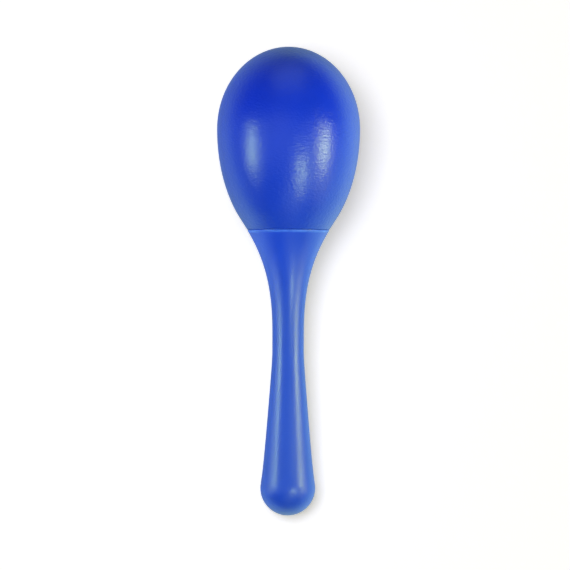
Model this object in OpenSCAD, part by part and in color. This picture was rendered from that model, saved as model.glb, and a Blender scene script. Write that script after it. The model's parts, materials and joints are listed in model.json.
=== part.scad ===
// Egg shaker on a handle: a hollow egg-shaped head with loose steel shot, bonded to a hollow handle.
// Outlines are drawn upright, as [radius, height above the knob's end], and then laid down.
// The finished part lies on a flat surface, which it touches with the head and the knob.

/* [Overall] */
// Length from the end of the knob to the top of the head
total_l = 205; // [200:1:210]

/* [Head] */
// Largest diameter of the head
head_d = 62.6; // [60:0.2:65]
// Height of the dome above the largest diameter
dome_h = 36; // [34:0.5:38]
// Half-length of the ellipse that the tapering side of the head follows
tail_h = 53; // [52:0.5:55]
// Distance from the largest diameter down to the joint with the handle
joint_drop = 44; // [43:0.5:45]
// Radius lost for each millimetre down the straight cone above the joint
joint_slope = 0.64; // [0.62:0.01:0.66]
// Wall of the head
head_wall = 1.6; // [1.4:0.1:1.8]

/* [Neck] */
// Length of the neck that sits in the handle's socket
neck_l = 8; // [7.5:0.5:9]

/* [Handle] */
// Diameter of the waist, the thinnest stretch of the handle
waist_d = 13.8; // [13:0.2:15]
// Height at which the waist starts
waist_from = 72; // [68:1:74]
// Height at which the waist ends and the funnel starts
waist_to = 77.5; // [76:0.5:79]
// Diameter of the round knob
knob_d = 24; // [23:0.5:25]
// Wall of the handle
handle_wall = 1.8; // [1.6:0.1:2]

/* [Joint line] */
// Width and depth of the chamfer on each side of the joint line
chamfer = 0.35; // [0.2:0.05:0.5]

/* [Shot] */
// Diameter of one steel shot
shot_d = 4; // [3:0.5:4]
// Rings of shot round the middle one
shot_rings = 3; // [1:1:3]
// Gap between neighbouring shot, seen from above
shot_gap = 0.2; // [0.15:0.05:0.4]

/* [Hidden] */
$fn = 96;
arc_steps = 24;          // straight pieces in each half of the egg's outline
stem_steps = 20;         // straight pieces in the funnel, in the grip and in the knob
funnel_power = 2.6;      // how sharply the funnel opens towards the joint
grip_softness = 0.1;     // how gently the grip leaves the waist
knob_swell = 0.5;        // extra radius that the grip gains just above the knob
swell_power = 8;         // how late that swell comes
knob_blend = 8;          // angle above the knob's middle at which the grip meets it
fit_gap = 0.2;           // gap between the neck and the handle's socket where they are closest
shoulder_drop = 3.8;     // height of the cone from the head's ledge down to the neck
floor_top = 3;           // height above the joint at which the chamber's sloping floor starts
floor_drop = 2.3;        // distance below the joint at which that floor meets the neck's bore
film = 0.05;             // gap round the adhesive and round the plug
glue_top = 1.6;          // distance from the joint down to the top of the adhesive
glue_l = 5;              // length of the adhesive ring
flange_t = 1.2;          // thickness of the plug's flange
flange_over = 0.8;       // how far the flange reaches beyond the neck's bore
plug_wall = 1.4;         // wall of the plug
shot_clear = 0.25;       // gap between a shot and the wall that it lies on
past = 1;                // how far a cut runs on past a face

head_r = head_d / 2;
waist_r = waist_d / 2;
knob_r = knob_d / 2;
equator_s = total_l - dome_h;
joint_s = equator_s - joint_drop;
neck_end_s = joint_s - neck_l;

// The egg's tail turns into a straight cone where the ellipse has the cone's slope.
tail_sine = joint_slope / norm([joint_slope, head_r / tail_h]);
tail_angle = asin(tail_sine);
cone_top_s = equator_s - tail_h * tail_sine;
joint_r = head_r * cos(tail_angle) - joint_slope * (cone_top_s - joint_s);

// The part rests on the tail side of the head and on the knob, so its axis leans by rest_tilt.
// The common tangent of the tail's ellipse and the knob's circle is a quadratic in that angle's sine.
span = equator_s - knob_r;
tangent_a = pow(span, 2) - pow(tail_h, 2) + pow(head_r, 2);
tangent_b = 2 * span * knob_r;
tangent_c = pow(knob_r, 2) - pow(head_r, 2);
rest_sine = (-tangent_b + sqrt(pow(tangent_b, 2) - 4 * tangent_a * tangent_c)) / (2 * tangent_a);
rest_tilt = asin(rest_sine);
rest_cosine = cos(rest_tilt);

// The origin is at the middle of the part's box, on the surface that the part lies on.
dome_reach = norm([dome_h * rest_cosine, head_r * rest_sine]);
end_y = -(knob_r * (rest_cosine - 1) + equator_s * rest_cosine + dome_reach) / 2;
end_z = knob_r * (1 - rest_sine);
equator_y = end_y + equator_s * rest_cosine;
equator_z = end_z + equator_s * rest_sine;

// A point of an ellipse with half-axes head_r and h, at an angle from its pole, moved inwards by d
function egg_point(h, angle, d) =
    let (normal = [abs(h) * sin(angle), head_r * cos(angle) * sign(h)])
    [head_r * sin(angle), equator_s + h * cos(angle)] - d * normal / norm(normal);

// The egg's outline from its pole down to the top of the cone, moved inwards by d
function egg(d) = concat(
    [for (i = [0 : arc_steps]) egg_point(dome_h, 90 * i / arc_steps, d)],
    [for (i = [1 : arc_steps]) egg_point(-tail_h, 90 - tail_angle * i / arc_steps, d)]
);

// The funnel from the joint down to the waist, and the grip from the waist down to the knob
funnel = [
    for (i = [0 : stem_steps - 1])
        let (t = 1 - i / stem_steps)
        [waist_r + (joint_r - waist_r) * pow(t, funnel_power), waist_to + (joint_s - waist_to) * t]
];
knob_top = knob_r * [cos(knob_blend), 1 + sin(knob_blend)];
grip = [
    for (i = [0 : stem_steps])
        let (t = i / stem_steps,
             taper = (1 + grip_softness) * pow(t, 2) / (t + grip_softness))
        [waist_r + (knob_top[0] - waist_r - knob_swell) * taper + knob_swell * pow(t, swell_power),
         waist_from + (knob_top[1] - waist_from) * t]
];
stem = concat(funnel, [[waist_r, waist_to]], grip);

// A run of outline points, each moved inwards by d
function moved_in(path, d) = [
    for (i = [0 : len(path) - 1])
        let (along = path[min(i + 1, len(path) - 1)] - path[max(i - 1, 0)],
             step = d * along / norm(along))
        path[i] + [step[1], -step[0]]
];

// The knob's outline down to its pole, moved inwards by d
function knob(d) = [
    for (i = [1 : stem_steps])
        let (angle = knob_blend - (90 + knob_blend) * i / stem_steps)
        [i == stem_steps ? 0 : (knob_r - d) * cos(angle), knob_r + (knob_r - d) * sin(angle)]
];

// The neck and its ledge fit the handle's socket, and the bore follows from the neck.
socket = moved_in(stem, handle_wall);
function socket_r(s) = lookup(s, [for (p = socket) [p[1], p[0]]]);
ledge_r = socket_r(joint_s) - fit_gap;
neck_r = socket_r(neck_end_s) - fit_gap;
bore_r = neck_r - head_wall;
plug_r = bore_r - film;
plug_top_s = joint_s - floor_drop;
flange_top_s = neck_end_s - film;

// A resting shot's middle lies on an egg that is smaller than the head by shot_inset.
shot_inset = head_wall + shot_clear + shot_d / 2;
shot_egg_r = head_r - shot_inset;
shot_tail_h = tail_h - shot_inset;
shot_dome_h = dome_h - shot_inset;

// Lower height at which a vertical line at [x, dy] from the egg's middle meets the half-egg of half-length h
function half_egg_z(x, dy, h) =
    let (across = 1 / pow(shot_egg_r, 2),
         along = 1 / pow(h, 2),
         a = across * pow(rest_cosine, 2) + along * pow(rest_sine, 2),
         b = dy * rest_sine * rest_cosine * (along - across),
         c = across * (pow(x, 2) + pow(dy * rest_sine, 2)) + along * pow(dy * rest_cosine, 2) - 1)
    -(b + sqrt(pow(b, 2) - a * c)) / a;

// Height of the middle of a shot that lies on the wall at [x, y]
function resting_z(x, y) =
    let (dy = y - equator_y,
         tail_z = half_egg_z(x, dy, shot_tail_h),
         dome_z = half_egg_z(x, dy, shot_dome_h),
         is_on_tail = dy * rest_cosine + tail_z * rest_sine < 0)
    equator_z + (is_on_tail ? tail_z : dome_z);

// The pool of shot lies round the chamber's lowest point: a hexagon of rings, seen from above.
pool_drop = norm([shot_egg_r * rest_cosine, shot_tail_h * rest_sine]);
pool_y = equator_y
    + (pow(shot_egg_r, 2) - pow(shot_tail_h, 2)) * rest_sine * rest_cosine / pool_drop;
shot_pitch = shot_d + shot_gap;
shot_places = [
    for (row = [-shot_rings : shot_rings])
        for (i = [max(0, -row) : min(0, -row) + 2 * shot_rings])
            [shot_pitch * row * sqrt(3) / 2, pool_y + shot_pitch * (i - shot_rings + row / 2)]
];
last_shot = len(shot_places) - 1;

function shot_name(i) = str("shot_", i < 9 ? "0" : "", i + 1);

// Lays an upright shape down in its resting place
module laid_down() {
    translate([0, end_y, end_z])
        rotate([rest_tilt - 90, 0, 0])
            children();
}

// Turns an outline about the axis
module turned(outline) {
    rotate_extrude()
        polygon(outline);
}

// Everything inside the handle's wall, at a depth d below its surface
module socket_space(d) {
    inside = moved_in(stem, d);
    turned(concat([[0, inside[0][1]]], inside, knob(d)));
}

// The head's neck and the shoulder that carries it, made larger by grow
module neck_form(grow) {
    turned([
        [0, joint_s],
        [ledge_r + grow, joint_s],
        [neck_r + grow, joint_s - shoulder_drop],
        [neck_r + grow, neck_end_s],
        [0, neck_end_s]
    ]);
}

// Room for the shot: the egg's inside, a sloping floor and the bore of the neck
module chamber() {
    turned(concat(egg(head_wall), [
        [joint_r + joint_slope * floor_top - head_wall * norm([1, joint_slope]), joint_s + floor_top],
        [bore_r, plug_top_s],
        [bore_r, neck_end_s - past],
        [0, neck_end_s - past]
    ]));
}

// Hollow egg-shaped head, open at its neck
module head_shell() {
    color("royalblue") laid_down() difference() {
        union() {
            turned(concat(egg(0), [
                [joint_r + joint_slope * chamfer, joint_s + chamfer],
                [joint_r - chamfer, joint_s],
                [0, joint_s]
            ]));
            neck_form(0);
        }
        chamber();
    }
}

// Hollow handle: funnel, waist, grip and round knob, with a socket for the head's neck
module handle() {
    rim_r = lookup(joint_s - chamfer, [for (p = stem) [p[1], p[0]]]);
    color("royalblue") laid_down() difference() {
        turned(concat(
            [[0, joint_s], [joint_r - chamfer, joint_s], [rim_r, joint_s - chamfer]],
            [for (i = [1 : len(stem) - 1]) stem[i]],
            knob(0)
        ));
        socket_space(handle_wall);
    }
}

// Cap that closes the neck and keeps the shot in the head
module neck_plug() {
    color("white") laid_down() turned([
        [0, plug_top_s],
        [plug_r, plug_top_s],
        [plug_r, flange_top_s],
        [bore_r + flange_over, flange_top_s],
        [bore_r + flange_over, flange_top_s - flange_t],
        [plug_r - plug_wall, flange_top_s - flange_t],
        [plug_r - plug_wall, plug_top_s - plug_wall],
        [0, plug_top_s - plug_wall]
    ]);
}

// Ring of adhesive in the wedge between the neck and the socket
module adhesive_ring() {
    color("wheat") laid_down() difference() {
        intersection() {
            socket_space(handle_wall + film);
            translate([0, 0, joint_s - glue_top - glue_l])
                cylinder(r = joint_r, h = glue_l);
        }
        neck_form(film);
    }
}

// One loose steel shot, lying on the chamber's wall
module shot(i) {
    x = shot_places[i][0];
    y = shot_places[i][1];
    color("silver") translate([x, y, resting_z(x, y)])
        sphere(d = shot_d);
}

head_shell();
handle();
neck_plug();
adhesive_ring();
for (i = [0 : last_shot])
    shot(i);
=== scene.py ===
"""Looks of the egg shaker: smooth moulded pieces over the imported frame, on white card in soft studio light.

Lengths are in metres. An outline is a list of (radius, s), where s is the height along the shaker's own axis:
0 at the end of the knob, and largest at the top of the head.
"""

import json
import math

import bmesh
import bpy
from mathutils import Matrix, Vector


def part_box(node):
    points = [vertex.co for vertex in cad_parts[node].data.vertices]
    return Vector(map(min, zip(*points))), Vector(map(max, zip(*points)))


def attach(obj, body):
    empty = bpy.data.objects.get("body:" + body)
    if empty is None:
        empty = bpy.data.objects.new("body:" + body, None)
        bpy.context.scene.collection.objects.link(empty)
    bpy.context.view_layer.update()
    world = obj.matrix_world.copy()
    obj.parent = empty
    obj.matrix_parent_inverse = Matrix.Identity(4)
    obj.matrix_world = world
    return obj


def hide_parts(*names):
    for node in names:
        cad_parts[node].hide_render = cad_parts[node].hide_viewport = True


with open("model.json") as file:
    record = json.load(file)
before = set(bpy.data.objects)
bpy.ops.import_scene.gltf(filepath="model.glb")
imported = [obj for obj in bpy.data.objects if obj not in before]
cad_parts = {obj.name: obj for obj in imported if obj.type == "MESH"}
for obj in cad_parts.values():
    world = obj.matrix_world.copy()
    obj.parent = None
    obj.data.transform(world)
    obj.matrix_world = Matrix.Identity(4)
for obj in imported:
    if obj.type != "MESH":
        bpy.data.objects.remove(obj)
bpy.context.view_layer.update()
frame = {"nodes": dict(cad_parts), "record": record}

MM = 0.001
MICRON = 1e-6

# ---------------------------------------------------------------- sizes

# Driving sizes of the design
DOME_H = 36 * MM  # from the largest diameter up to the top of the head
TAIL_H = 53 * MM  # half-length of the ellipse that the tapering side of the head follows
JOINT_DROP = 44 * MM  # from the largest diameter down to the joint with the handle
JOINT_SLOPE = 0.64  # radius lost for each unit of length down the cone above the joint
HEAD_WALL = 1.6 * MM
HANDLE_WALL = 1.8 * MM
WAIST_R = 6.9 * MM
WAIST_FROM = 72 * MM
WAIST_TO = 77.5 * MM
FUNNEL_POWER = 2.6  # how sharply the funnel opens towards the joint
GRIP_SOFTNESS = 0.1  # how gently the grip leaves the waist
KNOB_SWELL = 0.5 * MM  # extra radius that the grip gains just above the knob
SWELL_POWER = 8  # how late that swell comes
KNOB_BLEND = math.radians(8)  # angle above the knob's middle at which the grip meets it
NECK_L = 8 * MM
SHOULDER_DROP = 3.8 * MM  # height of the cone from the head's ledge down to the neck
FLOOR_TOP = 3 * MM  # height above the joint at which the chamber's sloping floor starts
FLOOR_DROP = 2.3 * MM  # distance below the joint at which that floor meets the neck's bore
FIT_GAP = 0.2 * MM  # between the neck and the handle's socket where they are closest
MOUTH_DEPTH = 0.01 * MM  # below the joint, where the socket's mouth is measured
FILM = 0.05 * MM  # round the plug and round the adhesive
FLANGE_T = 1.2 * MM
FLANGE_OVER = 0.8 * MM  # how far the plug's flange reaches past the neck's bore
PLUG_WALL = 1.4 * MM
GLUE_TOP = 1.6 * MM  # distance below the joint at which the adhesive starts
GLUE_L = 5 * MM

# Details that only these smooth pieces have
HEAD_RIM_ROUND = 0.25 * MM  # radius of the head's rim at the joint line
HANDLE_RIM_ROUND = 0.4 * MM  # radius of the handle's rim
RIM_STEP = 0.15 * MM  # how far the handle's rim stands proud of the head's
RIM_POWER = 4  # how late the funnel widens to that rim
NECK_BEND = 0.5 * MM  # radius where the neck meets its shoulder, and its bore the chamber's floor
NECK_EDGE = 0.3 * MM  # radius of the neck's end
FLOOR_BEND = 1 * MM  # radius where the chamber's floor meets its wall
PLUG_TOP_EDGE = 0.4 * MM
PLUG_BEND = 0.8 * MM  # radius at the top of the plug's inside
FLANGE_TOP_EDGE = 0.2 * MM
FLANGE_EDGE = 0.3 * MM
SAG = 0.25 * MM  # depth of the hollow at each end of the adhesive

# Places that the frame gives
mounts = {mount["name"]: mount for mount in frame["record"]["mounts"]}
clip_at = Vector(mounts["waist_clip"]["pos_m"])
axis_dir = -Vector(mounts["waist_clip"]["axis"]).normalized()
knob_rest = Vector(mounts["rest_knob"]["pos_m"])
head_low, head_high = (Vector(corner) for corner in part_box("head_shell"))

knob_r = clip_at.z + (knob_rest.y - clip_at.y) * axis_dir.z / axis_dir.y
knob_end = Vector((0, knob_rest.y, knob_r)) - axis_dir * knob_r
head_r = (head_high.x - head_low.x) / 2
dome_reach = math.hypot(DOME_H * axis_dir.y, head_r * axis_dir.z)
equator_s = (head_high.y - dome_reach - knob_end.y) / axis_dir.y
joint_s = equator_s - JOINT_DROP
neck_end_s = joint_s - NECK_L
top_s = equator_s + DOME_H

# The egg's tail turns into a straight cone where the ellipse has the cone's slope
tail_sine = JOINT_SLOPE / math.hypot(JOINT_SLOPE, head_r / TAIL_H)
tail_angle = math.asin(tail_sine)
joint_r = head_r * math.cos(tail_angle) - JOINT_SLOPE * (JOINT_DROP - TAIL_H * tail_sine)

# Upright pieces are laid down by this: local Z is the shaker's axis, and local Y its upper side
right_dir = Vector((1, 0, 0))
upper_dir = right_dir.cross(axis_dir)
laid_down = Matrix.Translation(knob_end) @ Matrix((-right_dir, upper_dir, axis_dir)).transposed().to_4x4()

# ---------------------------------------------------------------- camera

VIEW_W = 249.4 * MM  # width of the view at the shaker's axis
CAMERA_AWAY = 1.3  # from the camera to the shaker's axis
SENSOR_W = 36  # millimetres, as Blender measures a sensor
AIM_RIGHT = -1.4 * MM  # from the middle of the shaker to the middle of the view
AIM_ALONG = -1.7 * MM
CAMERA_ROLL = math.radians(0.13)


def view_place(right, along, above):
    """A place measured from the middle of the head: to the view's right, its top and the camera."""
    middle = knob_end + axis_dir * equator_s
    return middle + right_dir * right + axis_dir * along + upper_dir * above


def add_camera():
    """Looks square onto the shaker's axis, with the head towards the top of the view."""
    data = bpy.data.cameras.new("camera")
    data.sensor_width = SENSOR_W
    data.lens = SENSOR_W * CAMERA_AWAY / VIEW_W
    data.clip_start = CAMERA_AWAY / 20
    data.clip_end = CAMERA_AWAY * 20
    camera = bpy.data.objects.new("camera", data)
    bpy.context.scene.collection.objects.link(camera)
    target = view_place(AIM_RIGHT, AIM_ALONG + top_s / 2 - equator_s, 0)
    facing = Matrix((right_dir, axis_dir, upper_dir)).transposed().to_4x4()
    roll = Matrix.Rotation(CAMERA_ROLL, 4, "Z")
    camera.matrix_world = Matrix.Translation(target + upper_dir * CAMERA_AWAY) @ facing @ roll
    bpy.context.scene.camera = camera


add_camera()

# ---------------------------------------------------------------- outlines


def egg_arc(half_length, angle_from, angle_to, inset, steps):
    """The egg's outline between two angles from a pole. half_length is negative for the tail."""
    points = []
    for i in range(steps + 1):
        angle = angle_from + (angle_to - angle_from) * i / steps
        sine, cosine = math.sin(angle), math.cos(angle)
        normal = Vector((abs(half_length) * sine, math.copysign(head_r, half_length) * cosine)).normalized()
        at = Vector((head_r * sine, equator_s + half_length * cosine)) - normal * inset
        points.append((max(at.x, 0), at.y))
    return points


def egg(inset, steps=72):
    """The egg from the pole of its dome down to the top of the cone, moved inwards."""
    quarter = math.pi / 2
    dome = egg_arc(DOME_H, 0, quarter, inset, steps)
    tail = egg_arc(-TAIL_H, quarter, quarter - tail_angle, inset, steps)
    return dome + tail[1:]


def funnel(steps=64):
    """The handle from the joint down to the waist."""
    points = []
    for i in range(steps + 1):
        t = 1 - i / steps
        r = WAIST_R + (joint_r - WAIST_R) * t**FUNNEL_POWER
        points.append((r, WAIST_TO + (joint_s - WAIST_TO) * t))
    return points


def grip(steps=64):
    """The handle from the waist down to where the knob starts."""
    end_r = knob_r * math.cos(KNOB_BLEND)
    end_s = knob_r * (1 + math.sin(KNOB_BLEND))
    points = []
    for i in range(steps + 1):
        t = i / steps
        taper = (1 + GRIP_SOFTNESS) * t**2 / (t + GRIP_SOFTNESS)
        r = WAIST_R + (end_r - WAIST_R - KNOB_SWELL) * taper + KNOB_SWELL * t**SWELL_POWER
        points.append((r, WAIST_FROM + (end_s - WAIST_FROM) * t))
    return points


def knob(inset, steps=48):
    """The round knob down to its pole, moved inwards."""
    points = []
    for i in range(1, steps + 1):
        angle = KNOB_BLEND - (math.pi / 2 + KNOB_BLEND) * i / steps
        r = (knob_r - inset) * math.cos(angle) if i < steps else 0
        points.append((r, knob_r + (knob_r - inset) * math.sin(angle)))
    return points


def moved_in(path, distance):
    """A run of outline points, each moved towards the axis along its normal."""
    moved = []
    for i, point in enumerate(path):
        before = Vector(path[max(i - 1, 0)])
        after = Vector(path[min(i + 1, len(path) - 1)])
        step = (after - before).normalized() * distance
        moved.append((point[0] + step.y, point[1] - step.x))
    return moved


def radius_at(path, s):
    """The radius where a run of points that goes down passes height s."""
    for upper, lower in zip(path, path[1:]):
        if upper[1] >= s >= lower[1]:
            share = (upper[1] - s) / (upper[1] - lower[1])
            return upper[0] + (lower[0] - upper[0]) * share
    raise ValueError("the outline doesn't pass that height")


def round_corner(before, corner, after, radius, steps=8):
    """Points of an arc of that radius in place of a corner."""
    corner = Vector(corner)
    back = (Vector(before) - corner).normalized()
    ahead = (Vector(after) - corner).normalized()
    half = back.angle(ahead) / 2
    centre = corner + (back + ahead).normalized() * radius / math.sin(half)
    start = (corner + back * radius / math.tan(half) - centre).normalized()
    end = (corner + ahead * radius / math.tan(half) - centre).normalized()
    points = []
    for i in range(steps + 1):
        points.append(tuple(centre + start.slerp(end, i / steps) * radius))
    return points


def rounded(corners):
    """An open run of (radius, s, rounding) corners as points, with an arc where the rounding isn't zero."""
    points = []
    for i, (r, s, rounding) in enumerate(corners):
        if rounding:
            before, after = corners[i - 1][:2], corners[i + 1][:2]
            points += round_corner(before, (r, s), after, rounding)
        else:
            points.append((r, s))
    return points


# The handle's socket, and the head's neck that fits into it
socket_wall = moved_in(funnel(), HANDLE_WALL)
mouth_r = radius_at(socket_wall, joint_s - MOUTH_DEPTH)
ledge_r = mouth_r - FIT_GAP
neck_r = radius_at(socket_wall, neck_end_s) - FIT_GAP
bore_r = neck_r - HEAD_WALL

# ---------------------------------------------------------------- meshes

SEGMENTS = 192
SMALL_SEGMENTS = 96  # round the plug and the adhesive
SHARP_ANGLE = math.radians(40)


def turned(name, outline, segments=SEGMENTS):
    """A solid of revolution from an outline whose ends both lie on the axis, or that closes on itself."""
    mesh_maker = bmesh.new()
    rings = []
    for r, s in outline:
        if r <= 0:
            rings.append([mesh_maker.verts.new((0, 0, s))])
            continue
        ring = []
        for i in range(segments):
            angle = math.tau * i / segments
            ring.append(mesh_maker.verts.new((r * math.cos(angle), r * math.sin(angle), s)))
        rings.append(ring)
    pairs = list(zip(rings, rings[1:]))
    if len(rings[0]) > 1:
        pairs.append((rings[-1], rings[0]))
    for upper, lower in pairs:
        for i in range(segments):
            j = (i + 1) % segments
            corners = [upper[i % len(upper)], lower[i % len(lower)]]
            corners += [lower[j % len(lower)], upper[j % len(upper)]]
            mesh_maker.faces.new(list(dict.fromkeys(corners)))
    bmesh.ops.recalc_face_normals(mesh_maker, faces=mesh_maker.faces)
    mesh_maker.transform(laid_down)
    mesh = bpy.data.meshes.new(name)
    mesh_maker.to_mesh(mesh)
    mesh_maker.free()
    mesh.shade_smooth()
    mesh.set_sharp_from_angle(angle=SHARP_ANGLE)
    piece = bpy.data.objects.new(name, mesh)
    bpy.context.scene.collection.objects.link(piece)
    return piece


def head_skin():
    """The egg with its rim, ledge, neck and hollow chamber."""
    floor_r = joint_r + JOINT_SLOPE * FLOOR_TOP - HEAD_WALL * math.hypot(1, JOINT_SLOPE)
    outside = egg(0)
    inside = egg(HEAD_WALL)
    rim_and_neck = rounded([
        (*outside[-1], 0),
        (joint_r, joint_s, HEAD_RIM_ROUND),
        (ledge_r, joint_s, 0),
        (neck_r, joint_s - SHOULDER_DROP, NECK_BEND),
        (neck_r, neck_end_s, NECK_EDGE),
        (bore_r, neck_end_s, NECK_EDGE),
        (bore_r, joint_s - FLOOR_DROP, NECK_BEND),
        (floor_r, joint_s + FLOOR_TOP, FLOOR_BEND),
        (*inside[-1], 0),
    ])
    return turned("head_shell_skin", outside[:-1] + rim_and_neck + inside[-2::-1])


def handle_skin():
    """The handle with its rounded rim, open socket and hollow inside."""
    outer_funnel = []
    for r, s in funnel():
        share = (s - WAIST_TO) / (joint_s - WAIST_TO)
        outer_funnel.append((r + RIM_STEP * share**RIM_POWER, s))
    rim = rounded([
        (mouth_r, joint_s, 0),
        (joint_r + RIM_STEP, joint_s, HANDLE_RIM_ROUND),
        (*outer_funnel[1], 0),
    ])
    outside = rim + outer_funnel[2:] + grip() + knob(0)
    hollow = [point for point in socket_wall if point[1] < joint_s]
    hollow += moved_in(grip(), HANDLE_WALL) + knob(HANDLE_WALL)
    return turned("handle_skin", hollow[::-1] + outside)


def plug_skin():
    """The cap plug with eased edges."""
    plug_r = bore_r - FILM
    inner_r = plug_r - PLUG_WALL
    flange_r = bore_r + FLANGE_OVER
    top = joint_s - FLOOR_DROP
    flange_top = neck_end_s - FILM
    flange_bottom = flange_top - FLANGE_T
    outline = rounded([
        (0, top, 0),
        (plug_r, top, PLUG_TOP_EDGE),
        (plug_r, flange_top, 0),
        (flange_r, flange_top, FLANGE_TOP_EDGE),
        (flange_r, flange_bottom, FLANGE_EDGE),
        (inner_r, flange_bottom, FLANGE_EDGE),
        (inner_r, top - PLUG_WALL, PLUG_BEND),
        (0, top - PLUG_WALL, 0),
    ])
    return turned("neck_plug_skin", outline, SMALL_SEGMENTS)


def adhesive_skin():
    """The bead of adhesive, with a hollow meniscus above and below."""
    top = joint_s - GLUE_TOP
    bottom = top - GLUE_L
    inner_r = neck_r + FILM
    top_inner_r = inner_r + (ledge_r - neck_r) * (1 - GLUE_TOP / SHOULDER_DROP)
    wall = moved_in(funnel(), HANDLE_WALL + FILM)
    outer = [(radius_at(wall, top), top)]
    outer += [point for point in wall if bottom < point[1] < top]
    outer.append((radius_at(wall, bottom), bottom))
    top_middle = ((outer[0][0] + top_inner_r) / 2, top - SAG)
    bottom_middle = ((outer[-1][0] + inner_r) / 2, bottom + SAG)
    inner = [(inner_r, bottom), (inner_r, joint_s - SHOULDER_DROP), (top_inner_r, top)]
    return turned("adhesive_ring_skin", [top_middle] + outer + [bottom_middle] + inner, SMALL_SEGMENTS)


# ---------------------------------------------------------------- materials


def add_node(tree, kind, inputs=None, **settings):
    """Adds a shader node. inputs are values, or the sockets that they come from, by name or number."""
    node = tree.nodes.new(kind)
    for name, value in settings.items():
        setattr(node, name, value)
    for name, value in (inputs or {}).items():
        if isinstance(value, bpy.types.NodeSocket):
            tree.links.new(value, node.inputs[name])
        else:
            node.inputs[name].default_value = value
    return node


def new_material(name):
    """A node material with its Principled shader, and coordinates whose Z runs up the shaker's axis."""
    material = bpy.data.materials.new(name)
    material.use_nodes = True
    tree = material.node_tree
    shader = tree.nodes["Principled BSDF"]
    upright = laid_down.inverted()
    inputs = {
        "Vector": add_node(tree, "ShaderNodeTexCoord").outputs["Object"],
        "Location": upright.translation,
        "Rotation": upright.to_euler(),
    }
    place = add_node(tree, "ShaderNodeMapping", inputs).outputs["Vector"]
    return material, tree, shader, place


def noise(tree, place, size, detail=2.0):
    """Noise from 0 to 1 whose features are about size across."""
    inputs = {"Vector": place, "Scale": 1 / size, "Detail": detail}
    return add_node(tree, "ShaderNodeTexNoise", inputs).outputs["Fac"]


def remap(tree, value, low, high, to_low, to_high):
    """The value's range from low to high, stretched onto a new range and held at its ends."""
    inputs = {"Value": value, "From Min": low, "From Max": high, "To Min": to_low, "To Max": to_high}
    return add_node(tree, "ShaderNodeMapRange", inputs).outputs["Result"]


def mixed(tree, share, first, second):
    """Two colours mixed by a share from 0 to 1."""
    inputs = {"Fac": share, "Color1": first, "Color2": second}
    return add_node(tree, "ShaderNodeMixRGB", inputs).outputs["Color"]


def maths(tree, operation, *values):
    """One sum on one or two values or sockets."""
    inputs = dict(enumerate(values))
    return add_node(tree, "ShaderNodeMath", inputs, operation=operation).outputs["Value"]


def bump(tree, height, depth, below=None):
    """A bump of that depth in metres, on top of another one."""
    inputs = {"Height": height, "Distance": depth, "Strength": 1.0}
    if below is not None:
        inputs["Normal"] = below
    return add_node(tree, "ShaderNodeBump", inputs).outputs["Normal"]


def stretched(tree, place, factors):
    """Coordinates scaled by a factor along each axis, so that a factor below 1 makes noise longer there."""
    return add_node(tree, "ShaderNodeMapping", {"Vector": place, "Scale": factors}).outputs["Vector"]


def near(tree, value, middle, reach):
    """1 where the value is at middle, fading to 0 at reach on either side."""
    away = maths(tree, "ABSOLUTE", maths(tree, "SUBTRACT", value, middle))
    return remap(tree, away, 0.0, reach, 1.0, 0.0)


BLACK = (0, 0, 0, 1)
WHITE = (1, 1, 1, 1)

# The blue plastic's colours, and the sizes of the patterns in them
# painted light: the dome's brighter, purer blue stands in for light falling on the dome
DOME_BLUE_WITH_PAINTED_LIGHT = (0.001, 0.024, 0.50, 1)
JOINT_BLUE = (0.003, 0.031, 0.345, 1)
# painted sheen: the grip's greyer blue, with more red and green, stands in for the sheen on the handle
GRIP_BLUE_WITH_PAINTED_SHEEN = (0.004, 0.036, 0.33, 1)
# painted highlight: the pale blue of the band at the handle's rim, where the rounded rim catches light
RIM_HIGHLIGHT_BLUE = (0.15, 0.45, 1.0, 1)
GLOSS_TINT = (0.72, 1.0, 0.28, 1)  # little blue, since the plastic under a highlight is full of it already
CLOUD_SIZE = 26 * MM
FLOW_SIZE = 3.5 * MM
FLOW_FACTORS = (1, 1, 0.12)  # lines along the shaker
SPECK_SIZE = 0.5 * MM
# size of the patches in that painted highlight
RIM_HIGHLIGHT_PATCH_SIZE = 5 * MM
RIM_HIGHLIGHT_W = 0.8 * MM  # distance from the middle of the painted highlight at the handle's rim to its edges

# Its roughness
PATCH_SIZE = 14 * MM
PATCH_RANGE = 0.05
MARK_SIZE = 5 * MM
MARK_FACTORS = (1, 1, 6)  # fine lines round the shaker

# Its relief
WAVE_SIZE = 11 * MM
WAVE_DEPTH = 25 * MICRON
PEEL_SIZE = 1.3 * MM
PEEL_FACTORS = (1, 1, 1.6)
GRAIN_SIZE = 0.45 * MM
GRAIN_DEPTH = 3 * MICRON


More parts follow.
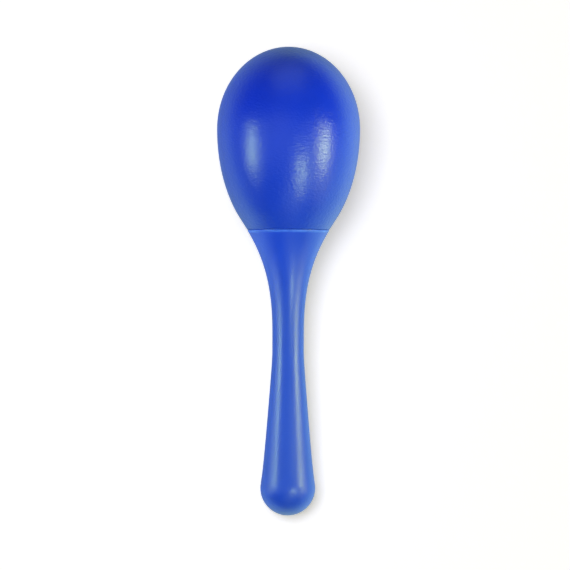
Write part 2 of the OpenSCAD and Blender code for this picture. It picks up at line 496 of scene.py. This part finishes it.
def blue_colour(tree, place, low, high):
    """Blue that changes from one end to the other as painted light, with faint clouds, flow lines, specks and
    a painted highlight at the handle's rim.
    """
    height = add_node(tree, "ShaderNodeSeparateXYZ", {"Vector": place}).outputs["Z"]
    # painted light: the blue grows brighter towards the dome and greyer towards the grip
    plain = mixed(tree, remap(tree, height, low[1], high[1], 0.0, 1.0), low[0], high[0])
    deep = mixed(tree, 0.1, plain, BLACK)
    pale = mixed(tree, 0.04, plain, WHITE)
    clouds = remap(tree, noise(tree, place, CLOUD_SIZE), 0.35, 0.65, 0.0, 0.5)
    flow_noise = noise(tree, stretched(tree, place, FLOW_FACTORS), FLOW_SIZE)
    flow = remap(tree, flow_noise, 0.3, 0.7, 0.0, 0.14)
    specks = remap(tree, noise(tree, place, SPECK_SIZE, detail=3), 0.62, 0.75, 0.0, 0.12)
    body = mixed(tree, clouds, plain, deep)
    body = mixed(tree, flow, body, deep)
    body = mixed(tree, specks, body, pale)
    # painted highlight: a pale band just below the joint, patchy, in place of the light that the handle's rim
    # catches
    rim = near(tree, height, joint_s - RIM_HIGHLIGHT_W, RIM_HIGHLIGHT_W)
    rim_highlight_share = remap(tree, noise(tree, place, RIM_HIGHLIGHT_PATCH_SIZE, detail=4), 0.35, 0.65, 0.06, 0.22)
    return mixed(tree, maths(tree, "MULTIPLY", rim, rim_highlight_share), body, RIM_HIGHLIGHT_BLUE)


def blue_roughness(tree, place, gloss):
    """Roughness in soft patches from gloss upwards, with fine rubbed marks that run round the shaker."""
    patch_noise = noise(tree, place, PATCH_SIZE, detail=3)
    patches = remap(tree, patch_noise, 0.3, 0.7, gloss, gloss + PATCH_RANGE)
    mark_noise = noise(tree, stretched(tree, place, MARK_FACTORS), MARK_SIZE, detail=6)
    marks = remap(tree, mark_noise, 0.58, 0.72, 0.0, 0.06)
    return maths(tree, "ADD", patches, marks)


def blue_relief(tree, place, peel_depth):
    """Broad waves, orange-peel ripple on them and a fine grain on both."""
    waves = bump(tree, noise(tree, place, WAVE_SIZE, detail=1), WAVE_DEPTH)
    peel_noise = noise(tree, stretched(tree, place, PEEL_FACTORS), PEEL_SIZE)
    peel = bump(tree, peel_noise, peel_depth, waves)
    return bump(tree, noise(tree, place, GRAIN_SIZE), GRAIN_DEPTH, peel)


def blue_plastic(name, low, high, gloss, peel_depth):
    """Satin-gloss blue moulded plastic, with a pale painted highlight along the handle's rim.

    low and high are each a colour and the height along the axis where it is reached; the blue's change
    between them is painted light. gloss is the roughness where the plastic is smoothest, and peel_depth
    is how deep its orange-peel ripple is.
    """
    material, tree, shader, place = new_material(name)
    tree.links.new(blue_colour(tree, place, low, high), shader.inputs["Base Color"])
    tree.links.new(blue_roughness(tree, place, gloss), shader.inputs["Roughness"])
    tree.links.new(blue_relief(tree, place, peel_depth), shader.inputs["Normal"])
    shader.inputs["IOR"].default_value = 1.45
    shader.inputs["Specular Tint"].default_value = GLOSS_TINT
    shader.inputs["Subsurface Weight"].default_value = 0.06
    shader.inputs["Subsurface Radius"].default_value = (0.3, 0.5, 1.0)
    shader.inputs["Subsurface Scale"].default_value = 2 * MM
    return material


NATURAL_WHITE = (0.80, 0.81, 0.79, 1)
HANDLED_WHITE = (0.70, 0.72, 0.70, 1)


def natural_plastic():
    """Unpigmented moulded polythene, with a fine matt grain and grey handling marks."""
    material, tree, shader, place = new_material("natural_plastic")
    haze = remap(tree, noise(tree, place, 4 * MM, detail=4), 0.35, 0.65, 0.0, 1.0)
    body = mixed(tree, haze, NATURAL_WHITE, HANDLED_WHITE)
    tree.links.new(body, shader.inputs["Base Color"])
    tree.links.new(remap(tree, haze, 0.0, 1.0, 0.42, 0.55), shader.inputs["Roughness"])
    grain = bump(tree, noise(tree, place, 0.3 * MM, detail=3), 8 * MICRON)
    tree.links.new(grain, shader.inputs["Normal"])
    shader.inputs["Subsurface Weight"].default_value = 0.25
    shader.inputs["Subsurface Scale"].default_value = 1 * MM
    return material


DEEP_AMBER = (0.55, 0.42, 0.20, 1)
PALE_AMBER = (0.68, 0.56, 0.32, 1)
BUBBLE_CREAM = (0.85, 0.80, 0.66, 1)


def cured_adhesive():
    """Amber hot-melt adhesive, glossy and lumpy, with paler trapped bubbles."""
    material, tree, shader, place = new_material("cured_adhesive")
    depth = remap(tree, noise(tree, place, 2.5 * MM, detail=3), 0.3, 0.7, 0.0, 1.0)
    bubbles = remap(tree, noise(tree, place, 0.5 * MM, detail=1), 0.66, 0.72, 0.0, 0.7)
    body = mixed(tree, depth, DEEP_AMBER, PALE_AMBER)
    tree.links.new(mixed(tree, bubbles, body, BUBBLE_CREAM), shader.inputs["Base Color"])
    tree.links.new(remap(tree, depth, 0.0, 1.0, 0.16, 0.30), shader.inputs["Roughness"])
    lumps = bump(tree, noise(tree, place, 1.8 * MM), 120 * MICRON)
    tree.links.new(lumps, shader.inputs["Normal"])
    shader.inputs["Subsurface Weight"].default_value = 0.3
    shader.inputs["Subsurface Scale"].default_value = 1 * MM
    return material


OXIDE_GREY = (0.24, 0.23, 0.22, 1)
STEEL_GREY = (0.56, 0.56, 0.57, 1)


def tumbled_steel():
    """Steel shot, dulled by tumbling, with small dents and darker oxide in them."""
    material, tree, shader, place = new_material("tumbled_steel")
    dents = remap(tree, noise(tree, place, 0.7 * MM, detail=3), 0.35, 0.6, 0.0, 1.0)
    body = mixed(tree, dents, OXIDE_GREY, STEEL_GREY)
    tree.links.new(body, shader.inputs["Base Color"])
    tree.links.new(remap(tree, dents, 0.0, 1.0, 0.48, 0.28), shader.inputs["Roughness"])
    tree.links.new(bump(tree, dents, 12 * MICRON), shader.inputs["Normal"])
    shader.inputs["Metallic"].default_value = 1.0
    return material


def give(piece, material):
    """Puts one material on every face of a piece or a CAD node."""
    if piece.material_slots:
        for material_slot in piece.material_slots:
            material_slot.material = material
    else:
        piece.data.materials.append(material)


# ---------------------------------------------------------------- the shaker

BODY = "shaker"

# Each blue, and the height along the axis where the plastic reaches it. The change from blue to blue is
# painted light: a brighter blue at the dome, and a greyer blue towards the grip as a painted sheen
dome_tone_with_painted_light = (DOME_BLUE_WITH_PAINTED_LIGHT, equator_s + 20 * MM)
joint_tone = (JOINT_BLUE, joint_s)
grip_tone_with_painted_sheen = (GRIP_BLUE_WITH_PAINTED_SHEEN, joint_s - 40 * MM)

head_blue = blue_plastic("blue_plastic_head", joint_tone, dome_tone_with_painted_light, gloss=0.30, peel_depth=150 * MICRON)
handle_blue = blue_plastic("blue_plastic_handle", grip_tone_with_painted_sheen, joint_tone, gloss=0.36, peel_depth=60 * MICRON)
skins = [
    (head_skin(), "head_shell", "head_plastic", head_blue),
    (handle_skin(), "handle", "handle_plastic", handle_blue),
    (plug_skin(), "neck_plug", "plug_plastic", natural_plastic()),
    (adhesive_skin(), "adhesive_ring", "adhesive", cured_adhesive()),
]
for skin, node, slot_name, material in skins:
    give(skin, material)
    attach(skin, BODY)
    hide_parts(node)

steel = tumbled_steel()
for name, ball in frame["nodes"].items():
    if name.startswith("shot_"):
        give(ball, steel)

# ---------------------------------------------------------------- floor and light

FLOOR_SIZE = 12
GREY_CARD = (0.88, 0.88, 0.88, 1)
PALE_CARD = (0.90, 0.90, 0.90, 1)
NEAR_GLOW = (0.5, 0.486, 0.385, 1)  # what the card itself gives off round the shaker
NEAR_GLOW_TO = 0.25  # distance from the middle at which that glow starts to grow
WHITE_GLOW_FROM = 1.6  # distance at which it is white


def pale_floor():
    """A wide sheet of white card that the shaker lies on.

    It gives off more light far away, where the key light is weak.
    """
    bpy.ops.mesh.primitive_plane_add(size=FLOOR_SIZE, location=(0, 0, 0))
    floor = bpy.context.object
    floor.name = "floor"
    material, tree, shader, place = new_material("white_card")
    tone = remap(tree, noise(tree, place, 400 * MM), 0.3, 0.7, 0.0, 1.0)
    body = mixed(tree, tone, GREY_CARD, PALE_CARD)
    tree.links.new(body, shader.inputs["Base Color"])
    shader.inputs["Roughness"].default_value = 0.9
    shader.inputs["Specular IOR Level"].default_value = 0.1
    away = add_node(tree, "ShaderNodeVectorMath", {0: place}, operation="LENGTH").outputs["Value"]
    far = remap(tree, away, NEAR_GLOW_TO, WHITE_GLOW_FROM, 0.0, 1.0)
    tree.links.new(mixed(tree, far, NEAR_GLOW, WHITE), shader.inputs["Emission Color"])
    shader.inputs["Emission Strength"].default_value = 1.0
    floor.data.materials.append(material)
    floor.visible_glossy = False  # its reflection comes from room()


NEUTRAL_LIGHT = (1.0, 1.0, 1.0)
COOL_LIGHT = (0.9, 1.0, 1.12)
WARM_LIGHT = (1.1, 0.98, 0.72)
KEY_LIGHT = (1.0, 1.02, 1.2)  # makes up for the blue that the card's own glow lacks
AIM_DROP = 60 * MM  # from the middle of the head down the shaker to where every lamp points


def lamp(name, place, width, length, radiance, colour, lit, shape="ELLIPSE"):
    """A soft lamp that faces the shaker and shines on one group of pieces.

    Its length runs along the shaker. radiance is its brightness, where 1 is white.
    """
    data = bpy.data.lights.new(name, "AREA")
    data.shape = shape
    data.size = width
    data.size_y = length
    data.color = colour
    area = width * length * (math.pi / 4 if shape == "ELLIPSE" else 1)
    data.energy = radiance * math.pi * area
    light = bpy.data.objects.new(name, data)
    light.location = place
    light.rotation_mode = "QUATERNION"
    facing = (place - view_place(0, -AIM_DROP, 0)).normalized()
    across = axis_dir.cross(facing).normalized()
    turn = Matrix((across, facing.cross(across), facing)).transposed()
    light.rotation_quaternion = turn.to_quaternion()
    light.visible_camera = False
    light.light_linking.receiver_collection = lit
    bpy.context.scene.collection.objects.link(light)


def panel(name, place, width, radiance, colour, lit):
    """A large square lamp."""
    lamp(name, place, width, width, radiance, colour, lit, "RECTANGLE")


def light_group(name, pieces):
    """The pieces that a lamp shines on."""
    group = bpy.data.collections.new(name)
    for piece in pieces:
        group.objects.link(piece)
    return group


def studio():
    """Small lamps for the highlights, large panels for the sheen, and a key light for the card alone."""
    all_pieces = [skin for skin, *_ in skins] + list(frame["nodes"].values())
    shaker = light_group("lit_shaker", all_pieces)
    grip = light_group("lit_grip", [bpy.data.objects["handle_skin"]])
    card = light_group("lit_card", [bpy.data.objects["floor"]])

    left = view_place(-272 * MM, -54 * MM, 160 * MM)
    right = view_place(266 * MM, -48 * MM, 168 * MM)
    low = view_place(222 * MM, -262 * MM, 520 * MM)
    lamp("left_lamp", left, width=36 * MM, length=54 * MM, radiance=112, colour=COOL_LIGHT, lit=shaker)
    lamp("right_lamp", right, width=56 * MM, length=60 * MM, radiance=88, colour=WARM_LIGHT, lit=shaker)
    lamp("low_lamp", low, width=50 * MM, length=130 * MM, radiance=116, colour=NEUTRAL_LIGHT, lit=shaker)

    left_of_grip = view_place(-450 * MM, -115 * MM, 140 * MM)
    right_of_grip = view_place(450 * MM, -115 * MM, 190 * MM)
    panel("left_grip_panel", left_of_grip, width=340 * MM, radiance=3.8, colour=COOL_LIGHT, lit=grip)
    panel("right_grip_panel", right_of_grip, width=290 * MM, radiance=4.8, colour=WARM_LIGHT, lit=grip)

    far_left = view_place(-750 * MM, -100 * MM, 800 * MM)
    far_right = view_place(850 * MM, -400 * MM, 400 * MM)
    past_knob = view_place(80 * MM, -820 * MM, 740 * MM)
    overhead = view_place(-300 * MM, 0, 1450 * MM)
    past_head = view_place(0, 800 * MM, 350 * MM)
    panel("left_panel", far_left, width=600 * MM, radiance=0.9, colour=COOL_LIGHT, lit=shaker)
    panel("right_panel", far_right, width=600 * MM, radiance=1.9, colour=WARM_LIGHT, lit=shaker)
    panel("knob_panel", past_knob, width=600 * MM, radiance=1.0, colour=NEUTRAL_LIGHT, lit=shaker)
    panel("top_panel", overhead, width=900 * MM, radiance=1.0, colour=NEUTRAL_LIGHT, lit=shaker)
    panel("head_panel", past_head, width=700 * MM, radiance=0.9, colour=COOL_LIGHT, lit=shaker)

    above_card = view_place(-195 * MM, 75 * MM, 1150 * MM)
    panel("card_key", above_card, width=450 * MM, radiance=11.6, colour=KEY_LIGHT, lit=card)


SKY_GLOW = 0.12  # brightness of the room above the horizon
CARD_GLOW = 2.05  # brightness that the card adds in the reflections that show it best
CARD_DIP = -0.45  # height of those reflections' directions, where -1 is straight down
CARD_SPREAD = 0.7  # change of that height over which the glow is lost
CARD_LEAN = (0.65, -1.0, 0)  # the glow grows to the right and towards the knob
LEAST_GLOW = 0.55  # the glow is held between these two
MOST_GLOW = 2.2
CARD_TINT = (0.64, 1.0, 0.86, 1)


def room():
    """Dim above the horizon, and below it the glow that the shaker's edges reflect.

    The camera itself sees plain white.
    """
    world = bpy.data.worlds.new("room")
    world.use_nodes = True
    tree = world.node_tree
    background = tree.nodes["Background"]
    towards = add_node(tree, "ShaderNodeTexCoord").outputs["Generated"]
    height = add_node(tree, "ShaderNodeSeparateXYZ", {"Vector": towards}).outputs["Z"]
    lean_inputs = {0: towards, 1: CARD_LEAN}
    lean = add_node(tree, "ShaderNodeVectorMath", lean_inputs, operation="DOT_PRODUCT").outputs["Value"]
    peak = maths(tree, "MULTIPLY", near(tree, height, CARD_DIP, CARD_SPREAD), CARD_GLOW)
    card = remap(tree, maths(tree, "ADD", lean, peak), LEAST_GLOW, MOST_GLOW, LEAST_GLOW, MOST_GLOW)
    is_above = maths(tree, "GREATER_THAN", height, 0.0)
    glow = add_node(tree, "ShaderNodeMix", {"Factor": is_above, "A": card, "B": SKY_GLOW}).outputs["Result"]
    seen = add_node(tree, "ShaderNodeLightPath").outputs["Is Camera Ray"]
    strength = add_node(tree, "ShaderNodeMix", {"Factor": seen, "A": glow, "B": 1.0}).outputs["Result"]
    tree.links.new(strength, background.inputs["Strength"])
    white = maths(tree, "MAXIMUM", is_above, seen)
    tree.links.new(mixed(tree, white, CARD_TINT, WHITE), background.inputs["Color"])
    bpy.context.scene.world = world


pale_floor()
studio()
room()
bpy.context.scene.view_settings.view_transform = "Standard"
